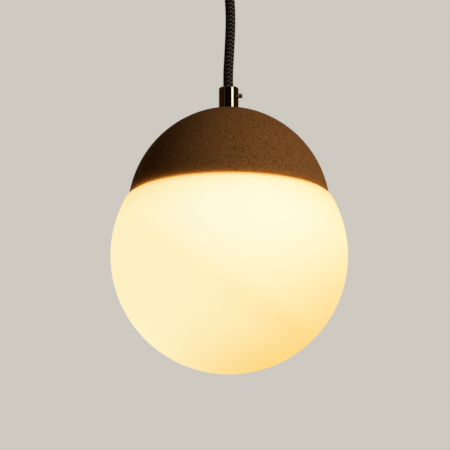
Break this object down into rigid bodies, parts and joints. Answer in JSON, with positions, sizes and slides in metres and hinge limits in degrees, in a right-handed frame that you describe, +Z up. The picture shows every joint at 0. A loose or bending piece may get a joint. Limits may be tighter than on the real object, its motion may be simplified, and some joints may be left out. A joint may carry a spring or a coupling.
{
  "type": "pendant ceiling light",
  "caption": "Pendant ceiling light: opal glass globe under a speckled stoneware cap, on a short braided flex with a chrome cord grip and a ceiling canopy.",
  "frame": {"origin": "middle of the ceiling bracket's top face, on the ceiling plane and on the lamp's axis", "axes": "+Z up out of the bracket into the ceiling, so the lamp hangs towards -Z; +X towards the grip's side screw, along the bracket's strip"},
  "size_m": [0.15, 0.15, 0.3],
  "materials": {
    "bracket_steel": "zinc-plated sheet",
    "brass": "bright",
    "terminal_plastic": "satin",
    "screw_steel": "zinc-plated",
    "canopy_metal": "polished",
    "tube_steel": "zinc-plated",
    "grip_chrome": "polished",
    "braid": "black and white braid",
    "core_brown": "insulated wire",
    "core_blue": "insulated wire",
    "core_earth": "green and yellow insulated wire",
    "stoneware": "matt sand stoneware with dark iron specks",
    "pad_rubber": "matt",
    "holder_plastic": "satin",
    "steatite": "matt white",
    "collar_aluminium": "satin",
    "seal_silicone": "matt white",
    "lamp_ceramic": "satin white",
    "pin_metal": "bright",
    "opal_glass": "glossy opal, lit from inside",
    "lamp_frosted": "frosted, lit"
  },
  "bodies": {
    "ceiling_fitting": {"ceiling_bracket": "bracket_steel", "earth_tag": "brass", "earth_screw": "brass", "terminal_block": "terminal_plastic", "terminal_barrels": "brass", "terminal_screws": "screw_steel", "block_screw": "screw_steel", "canopy": "canopy_metal", "canopy_screws": "canopy_metal", "canopy_tube": "tube_steel", "canopy_washer": "screw_steel", "canopy_nut": "screw_steel", "canopy_grip": "grip_chrome", "canopy_grip_screw": "screw_steel", "flex_tail": "braid", "lead_live": "core_brown", "lead_neutral": "core_blue", "lead_earth": "core_earth"},
    "bend": {"flex_bend": "braid"},
    "pendant": {"flex": "braid", "cord_grip": "grip_chrome", "grip_screw": "screw_steel", "cap_tube": "tube_steel", "stoneware_cap": "stoneware", "cap_pad": "pad_rubber", "cap_washer": "screw_steel", "cap_nut": "screw_steel", "holder_cap": "holder_plastic", "holder_lock_screw": "screw_steel", "holder_sleeve": "holder_plastic", "holder_insert": "steatite", "holder_contacts": "brass", "holder_leads": "core_brown", "ring_nut_upper": "holder_plastic", "ring_nut_lower": "holder_plastic", "globe_collar": "collar_aluminium"},
    "seal": {"neck_seal": "seal_silicone"},
    "globe": {"globe": "opal_glass"},
    "lamp": {"lamp_base": "lamp_ceramic", "lamp_pins": "pin_metal", "lamp_glass": "lamp_frosted"}
  },
  "joints": [
    {"name": "swing_side", "type": "hinge", "parent": "ceiling_fitting", "child": "bend", "pos_m": [0, 0, -0.0414], "axis": [0, 1, 0], "range_deg": [-25, 25]},
    {"name": "swing_front", "type": "hinge", "parent": "bend", "child": "pendant", "pos_m": [0, 0, -0.0414], "axis": [1, 0, 0], "range_deg": [-25, 25]},
    {"name": "globe_lower", "type": "slide", "parent": "pendant", "child": "seal", "axis": [0, 0, 1], "range_m": [-0.009, 0]},
    {"name": "globe_turn", "type": "hinge", "parent": "seal", "child": "globe", "pos_m": [0, 0, -0.225], "axis": [0, 0, 1], "range_deg": [-720, 0]},
    {"name": "lamp_pull", "type": "slide", "parent": "pendant", "child": "lamp", "axis": [0, 0, -1], "range_m": [0, 0.016]}
  ],
  "couplings": [
    {"joint": "globe_lower", "follows": "globe_turn", "m_per_rad": 0.000716}
  ]
}
